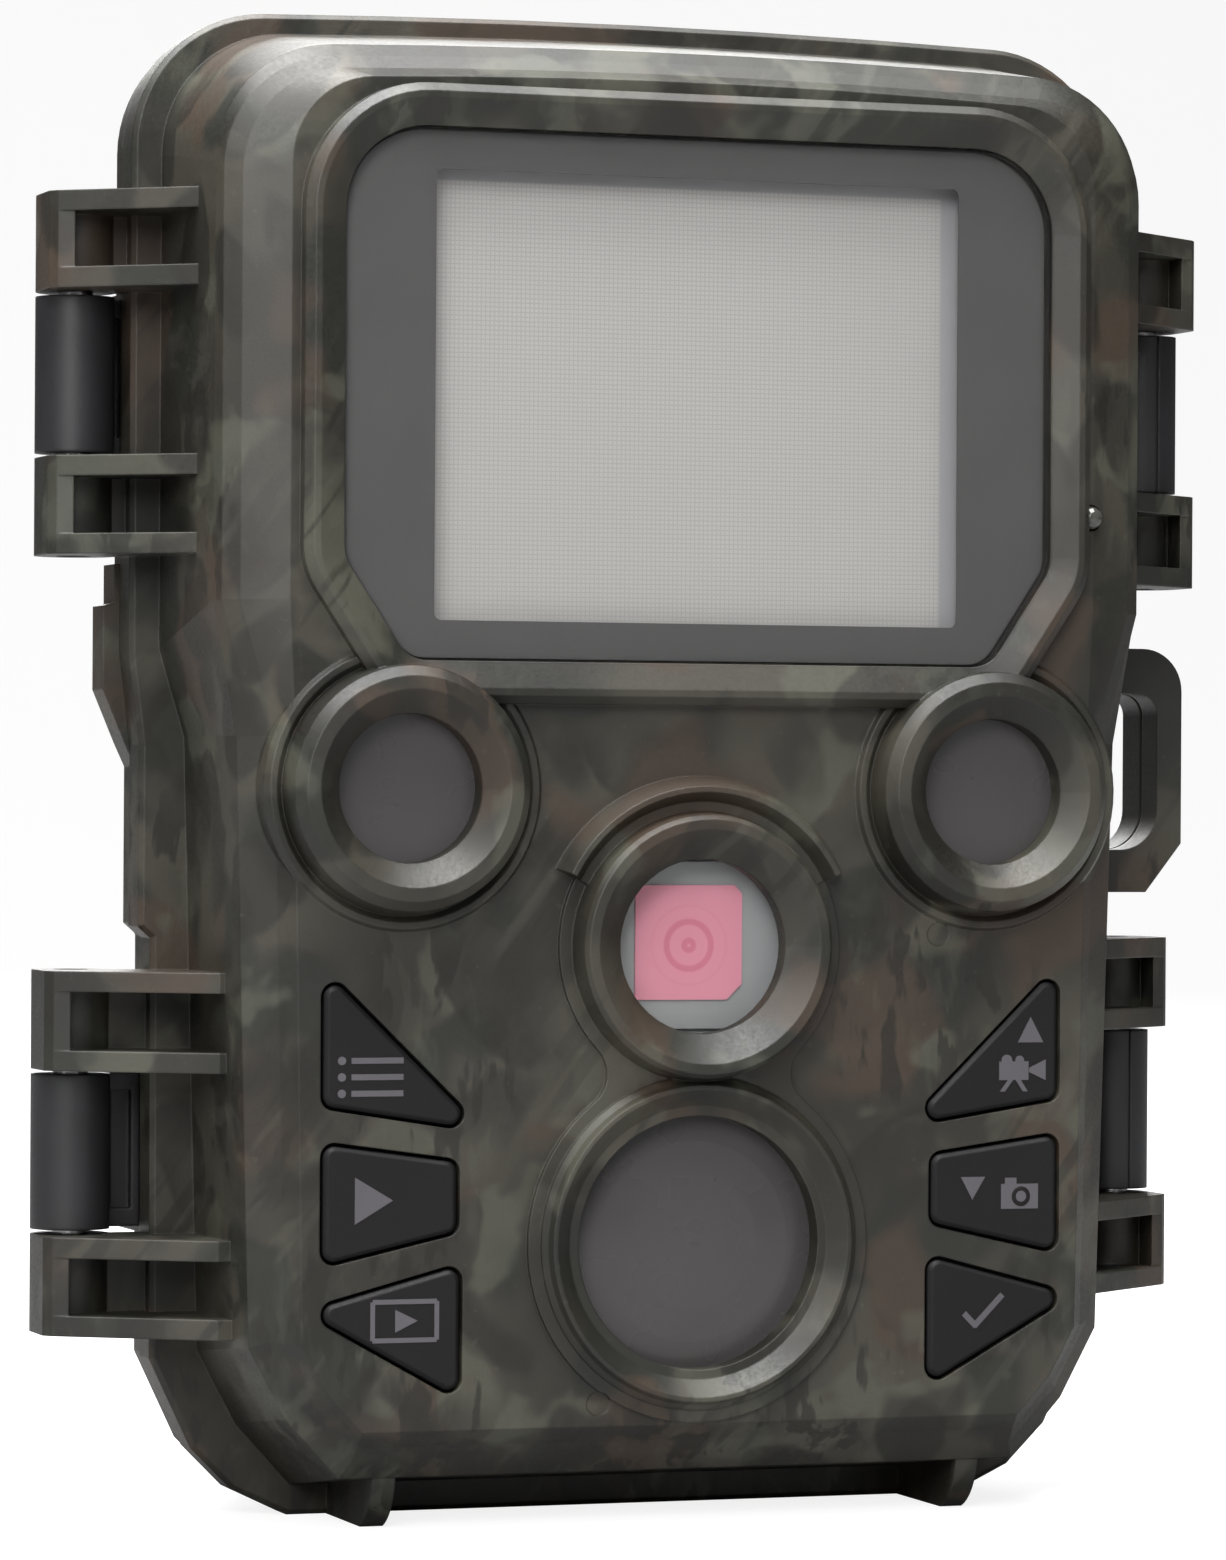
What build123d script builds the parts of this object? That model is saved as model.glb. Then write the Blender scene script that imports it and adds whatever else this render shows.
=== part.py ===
"""Compact trail camera: a rear tub that straps to a tree, and a front half hinged on its left side.

Frame: +Z up, the lens looks along -Y, +X is to the right of a person facing the lens.
The origin is the mouth of the tripod socket in the underside. Everything is in millimetres.
"Height" is the distance forward of the parting plane between the two halves.
"""
from build123d import *
from math import cos, radians, sin
import os

os.makedirs("parts", exist_ok=True)

# ---------------------------------------------------------------- driving dimensions
PARTING_Y = -10.0            # plane where the two halves meet, and where hinge and latch axes lie
TOTAL_HEIGHT = 108.6
FLANGE_THICKNESS = 3.0
FACE_HEIGHT = 17.5           # the front face around the keys
CEILING_HEIGHT = 15.5        # inside of the front wall
TUB_DEPTH = 19.0             # outside of the rear wall, behind the parting plane
TUB_INNER_DEPTH = 17.0
GAP = 0.25                   # general clearance between mating plastic pieces

DISPLAY_Z = 80.1             # centre of the display
GLASS_HALF_WIDTH = 26.6
GLASS_TOP = 98.75
GLASS_BOTTOM = 61.5
GLASS_THICKNESS = 1.0
GLASS_HEIGHT = 18.2          # front of the display glass
ACTIVE_WIDTH = 39.6          # clear window in the printed border
ACTIVE_TALL = 31.7

LED_X = 22.0
LED_Z = 52.4
LENS_Z = 41.3
PIR_Z = 20.2
LED_HOLE_R = 5.25
LENS_HOLE_R = 6.23
PIR_HOLE_R = 9.06
BROW_START = 27              # degrees above the horizontal at which the brow over the lens ends
STATUS_LIGHT = (30.2, 72.4)
SPEAKER = (-8.6, 11.2)
CARD_X = -20.3
PORT = (20.3, 17.6)
SWITCH = (20.3, 31.5)

HINGE_X = 41.5               # distance of the hinge axis from the middle, on the left
PIN_R = 1.25
KNUCKLE_R = 2.85
EAR_RIB = 1.45
EAR_WALL = 1.6                # outer wall of a hinge or latch ear
HINGE_EARS = [(87.8, 94.7), (68.9, 75.9), (32.2, 39.3), (13.4, 20.4)]
HINGE_KNUCKLES = {"upper": (76.25, 87.45), "lower": (20.75, 31.85)}
LATCH_X = {"upper": 41.8, "lower": 39.8}
LATCH_EARS = {"upper": [(87.4, 94.2), (67.9, 74.8)], "lower": [(34.8, 41.5), (15.3, 22.1)]}
LATCH_LEVERS = {"upper": (75.15, 87.05), "lower": (22.45, 34.45)}

BOARD_BACK = 10.4            # main circuit board, rear face
BOARD_FRONT = 12.0
CELL_R = 7.1
CELL_LENGTH = 49.2
CELL_NUB = 1.1
CELL_PITCH = 14.6
CELL_FIRST_Z = 50.7
CELL_HEIGHT = -3.0           # cell axes, just behind the parting plane
BAY_HALF_WIDTH = 27.4
BAY_BOTTOM = 43.4
BAY_TOP = 101.8

TRIPOD_MINOR_R = 2.6         # crest of a 1/4 inch thread
INSERT_R = 4.2
INSERT_LENGTH = 9.0
BACK_Z = 54.0                # middle of the rating label and of the strap slots
BRACKET_X = 22.5
BRACKET_WIDTH = 6.0
STRAP_SLOT = (27.0, 23.8)    # its length, and how far behind the parting plane it reaches
TOOTH_PITCH = 4.4
GROOVES = [12.5, 16.5, 20.5, 86.5, 90.5, 94.5]

COVER_SCREWS = [(30.9, 96.5), (30.9, 62.5), (25.0, 9.6)]

# Key outlines on the right side; the left side is their mirror image.
KEY_TOP = [(27.75, 39.7), (16.15, 28.4), (27.75, 30.2)]
KEY_MIDDLE = [(27.75, 27.5), (18.0, 26.15), (18.0, 21.3), (27.75, 19.1)]
KEY_BOTTOM = [(28.96, 15.87), (17.75, 18.85), (17.75, 9.6)]
KEYS = {
    "key_menu": (-1, KEY_TOP, (24.2, 32.6)),
    "key_forward": (-1, KEY_MIDDLE, (23.0, 23.4)),
    "key_play": (-1, KEY_BOTTOM, (21.3, 14.8)),
    "key_up": (1, KEY_TOP, (24.2, 32.6)),
    "key_down": (1, KEY_MIDDLE, (23.0, 23.4)),
    "key_ok": (1, KEY_BOTTOM, (21.3, 14.8)),
}
KEY_FACE = FACE_HEIGHT + 0.15
KEY_CORNER_R = 0.8
KEY_LIP = (14.4, 15.2)       # the flange that keeps a key inside its well


# ---------------------------------------------------------------- helpers
def at(height):
    """Plane parallel to the front face; local axes are (X, Z), its normal points forward."""
    return Plane(origin=(0, PARTING_Y - height, 0), x_dir=(1, 0, 0), z_dir=(0, -1, 0))


def plan(side, z):
    """Horizontal plane at z; local axes are (outward distance, height forward)."""
    return Plane(origin=(0, PARTING_Y, z), x_dir=(side, 0, 0), z_dir=(0, 0, -side))


def upright(x, z, angle=0):
    """Plane through a forward axis; local axes are (radius, height forward). The angle lifts the radius."""
    level, rise = cos(radians(angle)), sin(radians(angle))
    return Plane(origin=(x, PARTING_Y, z), x_dir=(level, 0, rise), z_dir=(rise, 0, -level))


def side_on(x):
    """Plane at x with its normal towards -X; local axes are (height forward, Z)."""
    return Plane(origin=(x, PARTING_Y, 0), x_dir=(0, -1, 0), z_dir=(-1, 0, 0))


def polygon(points):
    """Closed face through the points in the current sketch."""
    with BuildLine() as outline:
        Polyline(*points, close=True)
    make_face(outline.edges())


def turned(x, z, profile, mode=Mode.ADD, start=0, sweep=360):
    """Revolve a (radius, height) profile about the forward axis through (x, z), fully or in part."""
    with BuildSketch(upright(x, z, start)) as section:
        polygon(profile)
    revolve(section.sketch, axis=Axis((x, PARTING_Y, z), (0, -1, 0)), revolution_arc=sweep, mode=mode)


def disc(x, z, radius, low, high, mode=Mode.ADD):
    """Round plate or hole along the forward axis between two heights."""
    with BuildSketch(at(low)) as section:
        with Locations((x, z)):
            Circle(radius)
    extrude(section.sketch, amount=high - low, mode=mode)


def slab(x, z, width, tall, low, high, mode=Mode.ADD):
    """Rectangular block centred on (x, z) between two heights."""
    with BuildSketch(at(low)) as section:
        with Locations((x, z)):
            Rectangle(width, tall)
    extrude(section.sketch, amount=high - low, mode=mode)


def upright_rod(x, radius, z_low, z_high, mode=Mode.ADD):
    """Vertical rod or hole on the parting plane."""
    with BuildSketch(Plane(origin=(x, PARTING_Y, z_low))) as section:
        Circle(radius)
    extrude(section.sketch, amount=z_high - z_low, mode=mode)


def upright_prism(side, points, z_low, z_high):
    """Prism standing between two levels, its plan given as (outward distance, height forward)."""
    with BuildSketch(plan(side, z_low)) as section:
        polygon(points)
    extrude(section.sketch, amount=-side * (z_high - z_low))


def housing_outline(upper, lower, top, bottom, corner, radius, waist=65.5):
    """Housing section: wide upper half, narrower lower half, cut lower corners, crowned top."""
    taper = 0.15 * corner
    right = [
        (lower - taper - 0.85 * corner, bottom),
        (lower - taper - 0.35 * corner, bottom + 0.55 * corner),
        (lower - taper, bottom + 1.2 * corner),
        (lower, 56.0),
        (upper, waist),
        (upper, top),
    ]
    left = [(-x, z) for x, z in reversed(right)]
    with BuildLine() as outline:
        Polyline(*right)
        ThreePointArc(right[-1], (0, top + 0.9), left[0])
        Polyline(*left)
        Line(left[-1], right[0])
    make_face(outline.edges())
    fillet(vertices().group_by(Axis.Y)[-1], radius)


def flange_outline(inset=0.0):
    """Outer edge of the joint flange, which steps in beside the lower hinge and latch."""
    right = [
        (26.0, 0), (30.2, 2.0), (33.2, 5.0), (36.3, 11.5), (36.4, 41.6),
        (37.3, 42.4), (37.3, 55.4), (38.1, 62.0), (38.1, 107.7),
    ]
    left = [(-x, z) for x, z in reversed(right)]
    with BuildLine() as outline:
        Polyline(*right)
        ThreePointArc(right[-1], (0, TOTAL_HEIGHT), left[0])
        Polyline(*left)
        Line(left[-1], right[0])
    make_face(outline.edges())
    fillet(vertices().group_by(Axis.Y)[-1], 10.0)
    if inset:
        offset(amount=-inset, mode=Mode.REPLACE)


def display_outline(grow=0.0):
    """Display glass: round top corners, slanted bottom corners."""
    right = [(21.9, GLASS_BOTTOM), (GLASS_HALF_WIDTH, 68.6), (GLASS_HALF_WIDTH, GLASS_TOP)]
    left = [(-x, z) for x, z in reversed(right)]
    polygon(right + left)
    fillet(vertices().group_by(Axis.Y)[-1], 6.0)
    fillet([corner for corner in vertices() if corner.Y < 70], 2.5)
    if grow:
        offset(amount=grow, mode=Mode.REPLACE)


def key_face(side, points, grow=0.0):
    """One key's outline with rounded corners, grown or shrunk by an even margin."""
    polygon([(side * x, z) for x, z in points])
    fillet(vertices(), KEY_CORNER_R)
    if grow:
        offset(amount=grow, mode=Mode.REPLACE)


def finish(name, label):
    """Label a finished sub-part and write it to its own file."""
    name.part.label = label
    export_step(name.part, f"parts/{label}.step")


def housing_loft(sections, mode=Mode.ADD):
    """Straight-sided solid through housing sections given as (height, outline arguments)."""
    rings = []
    for height, *outline in sections:
        with BuildSketch(at(height)) as ring:
            housing_outline(*outline)
        rings.append(ring.sketch)
    loft(rings, ruled=True, mode=mode)


def gasket_ring(grow):
    """Closed ring that follows the joint face, 1.3 wide, grown on both edges."""
    housing_outline(35.9 + grow, 34.2 + grow, 106.2 + grow, 1.9 - grow, 7.6, 9.2)
    offset(faces(), amount=-1.3 - 2 * grow, mode=Mode.SUBTRACT)


def ear(side, axis_x, wall_x, z_low, z_high):
    """Knuckle for a steel pin, carried by two gusset ribs that run on to the front shell's wall."""
    outer = axis_x + KNUCKLE_R
    rib = [
        (axis_x, 0), (outer, 0), (outer, 3.6), (outer - 0.5, 4.3), (wall_x, 11.0),
        (wall_x - 1.6, 11.0), (wall_x - 1.6, 0),
    ]
    for z in (z_low, z_high - EAR_RIB):
        upright_prism(side, rib, z, z + EAR_RIB)
    outer_wall = [(outer - EAR_WALL, 0), (outer, 0), (outer, 3.6), (outer - 0.5, 4.3), (outer - EAR_WALL, 4.9)]
    base = [(wall_x - 1.6, 0), (axis_x, 0), (axis_x, 1.6), (wall_x - 1.6, 1.6)]
    for plan_shape in (outer_wall, base):
        upright_prism(side, plan_shape, z_low, z_high)
    upright_rod(side * axis_x, KNUCKLE_R, z_low, z_high)
    upright_rod(side * axis_x, PIN_R + 0.02, z_low - 1, z_high + 1, mode=Mode.SUBTRACT)


def padlock_eye(low, high):
    """Loop on the right edge of a flange, with the slot that a padlock or cable goes through."""
    with BuildSketch(at(low)) as loop:
        polygon([(36.0, 44.9), (41.2, 44.9), (44.1, 48.6), (44.1, 63.3), (36.0, 63.3)])
        fillet(vertices().group_by(Axis.X)[-1].sort_by(Axis.Y)[-1], 3.2)
    extrude(loop.sketch, amount=high - low)


def padlock_slot(low, high):
    """The slot itself, with a larger round at its lower outer corner."""
    with BuildSketch(at(low)) as slot:
        polygon([(37.5, 48.1), (42.1, 48.1), (42.1, 59.9), (37.5, 59.9)])
        fillet(vertices().group_by(Axis.Y)[-1], 1.6)
        fillet(vertices().group_by(Axis.Y)[0].sort_by(Axis.X)[-1], 3.0)
    extrude(slot.sketch, amount=high - low, mode=Mode.SUBTRACT)


# ---------------------------------------------------------------- front half: moulded shell
with BuildPart() as front_shell:
    # joint flange with a broken front edge
    with BuildSketch(at(0.05)):
        flange_outline()
    extrude(amount=FLANGE_THICKNESS - 0.05)
    chamfer(front_shell.faces().sort_by(Axis.Y)[0].edges(), 0.35)

    # body: drafted wall, long bevel beside the lower half, short bevel round the display half
    housing_loft([
        (2.0, 36.0, 34.1, 106.4, 2.1, 8.2, 9.0, 62.0),
        (14.4, 35.1, 33.4, 104.3, 3.8, 7.8, 8.6),
        (15.4, 34.8, 32.2, 103.4, 5.0, 7.2, 8.2),
        (16.3, 33.65, 31.1, 102.5, 6.1, 6.2, 7.6),
        (FACE_HEIGHT, 30.4, 30.0, 101.9, 7.3, 5.2, 6.2),
    ])

    # bead round the display recess
    with BuildSketch(at(CEILING_HEIGHT)):
        display_outline(3.1)
    extrude(amount=19.0 - CEILING_HEIGHT)
    chamfer(front_shell.faces().sort_by(Axis.Y)[0].edges(), 0.6)

    # lens and motion-sensor surrounds join in a low figure of eight
    with BuildSketch(at(FACE_HEIGHT - 0.2)):
        with Locations((0, LENS_Z)):
            Circle(10.6)
        with Locations((0, PIR_Z)):
            Circle(12.8)
        fillet(vertices().filter_by(lambda corner: abs(corner.X) > 4.5 and corner.Y > 30), 2.5)
    extrude(amount=0.6)
    # brow above the lens: a narrow lip with a groove inside it
    turned(0, LENS_Z, [(9.6, 15.0), (12.1, 15.0), (12.1, 17.6), (11.4, 19.3), (11.0, 19.3), (10.3, 18.2),
                       (9.6, 18.2)], start=BROW_START, sweep=180 - 2 * BROW_START)
    turned(0, LENS_Z, [(0, 15), (9.75, 15), (9.75, 17.4), (9.35, 19.7), (9.05, 20.1), (8.35, 20.1),
                       (LENS_HOLE_R, 18.4), (0, 18.4)])
    turned(0, PIR_Z, [(0, 15), (11.9, 15), (11.9, 18.1), (11.5, 18.5), (11.25, 19.0), (10.95, 19.0),
                      (PIR_HOLE_R, 17.3), (0, 17.3)])
    for side in (-1, 1):
        turned(side * LED_X, LED_Z, [(0, 12.5), (10.2, 12.5), (10.2, 17.35), (9.85, 17.9), (9.4, 17.9),
                                     (8.95, 17.5), (8.6, 19.6), (7.9, 20.4), (6.95, 20.5), (LED_HOLE_R, 19.0),
                                     (0, 19.0)])

    # two small feet under the front
    for x in (-22.2, 22.2):
        with BuildSketch(side_on(x - 0.85)):
            with BuildLine():
                Polyline((14.2, 5.2), (2.0, 5.2), (2.0, 0), (11.2, 0))
                ThreePointArc((11.2, 0), (13.0, 1.2), (14.2, 5.2))
            make_face()
        extrude(amount=-1.7)

    # cavity
    housing_loft([
        (-1.0, 33.9, 32.0, 104.3, 4.1, 6.6, 7.4),
        (CEILING_HEIGHT, 31.6, 29.8, 101.5, 7.4, 5.2, 6.0),
    ], mode=Mode.SUBTRACT)

    # display recess: sloped rim, glass pocket, opening
    for height, grow in ((19.01, 2.05), (GLASS_HEIGHT, 0.2)):
        with BuildSketch(at(height)):
            display_outline(grow)
    loft(ruled=True, mode=Mode.SUBTRACT)
    with BuildSketch(at(GLASS_HEIGHT - 1.2)):
        display_outline(0.12)
    extrude(amount=1.3, mode=Mode.SUBTRACT)
    slab(0, DISPLAY_Z, 43.6, 35.6, 14, 18, mode=Mode.SUBTRACT)

    # window holes, each with a wider pocket behind for its disc
    for x, z, hole, pocket, seat in (
        (LED_X, LED_Z, LED_HOLE_R, 6.4, 17.35), (-LED_X, LED_Z, LED_HOLE_R, 6.4, 17.35),
        (0, LENS_Z, LENS_HOLE_R, 7.3, 17.1), (0, PIR_Z, PIR_HOLE_R, 10.05, 16.25),
    ):
        disc(x, z, hole, 10, 21, mode=Mode.SUBTRACT)
        disc(x, z, pocket, 10, seat, mode=Mode.SUBTRACT)

    # key wells
    for side, points, _ in KEYS.values():
        with BuildSketch(at(14)):
            key_face(side, points, GAP)
        extrude(amount=5, mode=Mode.SUBTRACT)

    # bosses for the inner cover
    for side in (-1, 1):
        for x, z in COVER_SCREWS:
            disc(side * x, z, 2.0, 2.1, 15.7)
            disc(side * x, z, 0.9, 1, 9, mode=Mode.SUBTRACT)

    # status light hole, sound slot in the underside, two shallow mould marks on the face
    disc(*STATUS_LIGHT, 0.95, 10, 20, mode=Mode.SUBTRACT)
    with BuildSketch(Plane(origin=(SPEAKER[0], PARTING_Y - 7.2, -1))):
        SlotOverall(14.6, 2.0)
    extrude(amount=8, mode=Mode.SUBTRACT)
    for x, z in ((18.4, 42.1), (-7.4, 8.9)):
        disc(x, z, 0.85, 17.4, 18, mode=Mode.SUBTRACT)

    # hinge ears on the left, latch ears and padlock eye on the right
    for z_low, z_high in HINGE_EARS:
        ear(-1, HINGE_X, 35.3 if z_low > 60 else 33.5, z_low, z_high)
    for place, spans in LATCH_EARS.items():
        for z_low, z_high in spans:
            ear(1, LATCH_X[place], 35.3 if z_low > 60 else 33.5, z_low, z_high)
    padlock_eye(0.2, FLANGE_THICKNESS)
    padlock_slot(-1, 4)
finish(front_shell, "front_shell")

# ---------------------------------------------------------------- display stack
with BuildPart() as display_window:
    with BuildSketch(at(GLASS_HEIGHT - GLASS_THICKNESS)):
        display_outline()
    extrude(amount=GLASS_THICKNESS)
    chamfer(display_window.faces().sort_by(Axis.Y)[0].edges(), 0.12)
finish(display_window, "display_window")

with BuildPart() as display_border:
    with BuildSketch(at(GLASS_HEIGHT - GLASS_THICKNESS - 0.17)):
        display_outline(-0.1)
        with Locations((0, DISPLAY_Z)):
            RectangleRounded(ACTIVE_WIDTH, ACTIVE_TALL, 0.5, mode=Mode.SUBTRACT)
    extrude(amount=0.15)
finish(display_border, "display_border")

with BuildPart() as lcd_frame:
    slab(0, DISPLAY_Z, 46.0, 39.0, BOARD_FRONT + 0.1, 15.3)
    slab(0, DISPLAY_Z, 43.0, 35.0, 13.3, 16, mode=Mode.SUBTRACT)
finish(lcd_frame, "lcd_frame")

with BuildPart() as lcd_panel:
    slab(0, DISPLAY_Z, 42.8, 34.8, 13.3, 15.0)
finish(lcd_panel, "lcd_panel")

# ---------------------------------------------------------------- boards
with BuildPart() as main_board:
    with BuildSketch(at(BOARD_BACK)):
        right = [(25.2, 13.0), (28.2, 16.0), (28.2, 45.0), (13.0, 45.0), (13.0, 60.0), (27.4, 60.0),
                 (27.4, 100.0)]
        polygon(right + [(-x, z) for x, z in reversed(right)])
        with Locations((0, PIR_Z)):
            Circle(10.0, mode=Mode.SUBTRACT)
        with Locations((0, LENS_Z)):
            Rectangle(15.6, 14.2, mode=Mode.SUBTRACT)
    extrude(amount=BOARD_FRONT - BOARD_BACK)
finish(main_board, "main_board")

with BuildPart() as key_switches:
    for side, _, (x, z) in KEYS.values():
        slab(side * x, z, 4.2, 4.2, BOARD_FRONT, 12.9)
        disc(side * x, z, 0.9, 12.9, 13.15)
finish(key_switches, "key_switches")

with BuildPart() as board_chips:
    for x, z, width, tall, thick in ((-2, 84, 12, 12, 1.1), (15, 88, 8, 6, 1.0), (-16, 86, 5, 7, 1.4),
                                     (14, 72, 6, 9, 1.6), (-14, 70, 9, 6, 1.1)):
        slab(x, z, width, tall, BOARD_BACK - thick, BOARD_BACK)
finish(board_chips, "board_chips")

# ---------------------------------------------------------------- infrared lamps
for side, word in ((-1, "left"), (1, "right")):
    with BuildPart() as led_window:
        disc(side * LED_X, LED_Z, 6.25, 16.1, 17.3)
    finish(led_window, f"led_window_{word}")

    with BuildPart() as led_board:
        disc(side * LED_X, LED_Z, 6.5, BOARD_BACK, BOARD_FRONT)
    finish(led_board, f"led_board_{word}")

    with BuildPart() as ir_leds:
        spots = [(0, 0)] + [(3.9 * cos(radians(a)), 3.9 * sin(radians(a))) for a in range(0, 360, 60)]
        for dx, dz in spots:
            turned(side * LED_X + dx, LED_Z + dz, [(0, BOARD_FRONT), (1.7, BOARD_FRONT), (1.7, 12.6),
                                                  (1.5, 12.6), (1.5, 14.6), (1.1, 15.3), (0, 15.6)])
    finish(ir_leds, f"ir_leds_{word}")

# ---------------------------------------------------------------- camera module
with BuildPart() as lens_window:
    disc(0, LENS_Z, 7.15, 16.05, 17.05)
finish(lens_window, "lens_window")

with BuildPart() as lens_holder:
    slab(0, LENS_Z, 15.0, 12.0, 9.0, 15.2)
    slab(0, LENS_Z, 15.0, 13.6, 9.0, 14.7)
    disc(0, LENS_Z, 3.7, 8, 16, mode=Mode.SUBTRACT)
finish(lens_holder, "lens_holder")

with BuildPart() as lens_barrel:
    turned(0, LENS_Z, [(0, 9.2), (3.6, 9.2), (3.6, 14.8), (2.9, 14.8), (2.7, 14.2), (2.1, 14.2), (1.7, 12.9),
                       (1.7, 12.2), (0, 12.2)])
finish(lens_barrel, "lens_barrel")

with BuildPart() as lens_element:
    turned(0, LENS_Z, [(0, 12.25), (1.65, 12.25), (1.65, 12.5), (1.2, 12.85), (0.6, 13.05), (0, 13.1)])
finish(lens_element, "lens_element")

with BuildPart() as lens_film:
    with BuildSketch(at(15.25)):
        polygon([(-4.05, 37.4), (2.9, 37.4), (4.05, 38.5), (4.05, 45.0), (3.5, 45.6), (-4.05, 45.6)])
    extrude(amount=0.15)
finish(lens_film, "lens_film")

with BuildPart() as camera_board:
    slab(0, LENS_Z, 14.0, 10.2, 8.0, 8.95)
finish(camera_board, "camera_board")

# ---------------------------------------------------------------- motion sensor
with BuildPart() as pir_window:
    turned(0, PIR_Z, [(0, 15.3), (9.9, 15.3), (9.9, 16.2), (9.0, 16.2), (7.2, 16.5), (4.8, 16.75),
                      (2.4, 16.88), (0, 16.92)])
finish(pir_window, "pir_window")

with BuildPart() as pir_housing:
    turned(0, PIR_Z, [(9.0, 15.2), (9.8, 15.2), (7.4, 7.6), (5.9, 7.6), (5.9, 8.6), (6.6, 8.6)])
finish(pir_housing, "pir_housing")

with BuildPart() as pir_sensor:
    turned(0, PIR_Z, [(0, 7.6), (5.0, 7.6), (5.0, 8.1), (4.6, 8.1), (4.6, 11.6), (0, 11.6)])
    slab(0, PIR_Z, 4.0, 3.0, 11.3, 12, mode=Mode.SUBTRACT)
finish(pir_sensor, "pir_sensor")

with BuildPart() as pir_board:
    disc(0, PIR_Z, 5.2, 6.6, 7.55)
finish(pir_board, "pir_board")

# ---------------------------------------------------------------- small electrical pieces
with BuildPart() as status_light:
    turned(*STATUS_LIGHT, [(0, 14.0), (0.82, 14.0), (0.82, 17.6), (0.7, 17.95), (0.4, 18.2), (0, 18.3)])
finish(status_light, "status_light")

with BuildPart() as speaker:
    turned(*SPEAKER, [(0, 5.4), (2.5, 5.4), (2.5, 6.4), (4.0, 7.4), (4.0, 9.6), (0, 9.6)])
finish(speaker, "speaker")

with BuildPart() as microphone:
    disc(10.5, 13.4, 2.0, 8.2, BOARD_BACK)
finish(microphone, "microphone")

with BuildPart() as card_socket:
    slab(CARD_X, 31.0, 14.6, 15.0, 8.2, BOARD_BACK)
    slab(CARD_X, 30.0, 11.4, 17.0, 8.6, 9.8, mode=Mode.SUBTRACT)
finish(card_socket, "card_socket")

with BuildPart() as memory_card:
    with BuildSketch(at(8.75)):
        polygon([(CARD_X - 5.5, 21.6), (CARD_X + 5.5, 21.6), (CARD_X + 5.5, 36.6), (CARD_X - 3.4, 36.6),
                 (CARD_X - 3.4, 31.0), (CARD_X - 5.5, 28.6)])
    extrude(amount=0.8)
finish(memory_card, "memory_card")

with BuildPart() as usb_port:
    slab(*PORT, 8.0, 3.4, 3.0, BOARD_BACK)
    slab(*PORT, 7.2, 2.6, 2.0, 9.0, mode=Mode.SUBTRACT)
    slab(*PORT, 5.6, 0.8, 3.8, 9.5)
finish(usb_port, "usb_port")

with BuildPart() as switch_body:
    slab(*SWITCH, 13.0, 5.4, 5.2, BOARD_BACK)
    slab(*SWITCH, 8.0, 2.4, 4.5, 8.4, mode=Mode.SUBTRACT)
finish(switch_body, "switch_body")

with BuildPart() as switch_knob:
    slab(SWITCH[0] - 2.0, SWITCH[1], 3.4, 2.1, -0.6, 8.2)
    chamfer(switch_knob.faces().sort_by(Axis.Y)[-1].edges(), 0.3)
finish(switch_knob, "switch_knob")

# ---------------------------------------------------------------- keys
for name, (side, points, (x, z)) in KEYS.items():
    with BuildPart() as key:
        with BuildSketch(at(KEY_LIP[1])):
            key_face(side, points)
        extrude(amount=KEY_FACE - KEY_LIP[1])
        chamfer(key.faces().sort_by(Axis.Y)[0].edges(), 0.3)
        with BuildSketch(at(KEY_LIP[0])):
            key_face(side, points, 0.6)
        extrude(amount=KEY_LIP[1] - KEY_LIP[0])
        disc(side * x, z, 1.2, 13.75, KEY_LIP[1])
    finish(key, name)

# ---------------------------------------------------------------- inner cover with the battery bay
with BuildPart() as inner_cover:
    with BuildSketch(at(0.5)):
        housing_outline(33.2, 31.2, 103.6, 4.9, 6.4, 7.0)
    extrude(amount=1.5)
    bay_middle = (BAY_BOTTOM + BAY_TOP) / 2
    bay_tall = BAY_TOP - BAY_BOTTOM
    slab(0, bay_middle, 2 * BAY_HALF_WIDTH + 1.6, bay_tall + 1.6, -3.6, 5.3)
    slab(0, bay_middle, 2 * BAY_HALF_WIDTH, bay_tall, -6, 4.2, mode=Mode.SUBTRACT)
    # low cradles between neighbouring cells
    for step in (0.5, 1.5, 2.5):
        with BuildSketch(side_on(-20)):
            z = CELL_FIRST_Z + step * CELL_PITCH
            polygon([(4.2, z - 2.2), (4.2, z + 2.2), (1.6, z + 0.5), (1.6, z - 0.5)])
        extrude(amount=-40)
    # openings for the card, the data port and the power switch
    slab(CARD_X, 23.0, 15.0, 19.0, 0, 3, mode=Mode.SUBTRACT)
    slab(*PORT, 9.0, 4.4, 0, 3, mode=Mode.SUBTRACT)
    slab(*SWITCH, 9.6, 3.6, 0, 3, mode=Mode.SUBTRACT)
    for side in (-1, 1):
        for x, z in COVER_SCREWS:
            disc(side * x, z, 1.05, 0, 3, mode=Mode.SUBTRACT)
finish(inner_cover, "inner_cover")

with BuildPart() as cover_screws:
    for side in (-1, 1):
        for x, z in COVER_SCREWS:
            turned(side * x, z, [(0, -0.3), (0.7, -0.5), (1.5, -0.5), (1.85, -0.1), (1.85, 0.5), (0.88, 0.5),
                                 (0.88, 6.6), (0, 7.4)])
finish(cover_screws, "cover_screws")

# ---------------------------------------------------------------- cells and their contacts
def across(number, distance):
    """Plane across a cell's axis, that far from the middle towards the end with the nub."""
    way = 1 if number % 2 == 0 else -1
    axis_point = (way * distance, PARTING_Y - CELL_HEIGHT, CELL_FIRST_Z + number * CELL_PITCH)
    return Plane(origin=axis_point, x_dir=(0, 1, 0), z_dir=(way, 0, 0))


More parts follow.
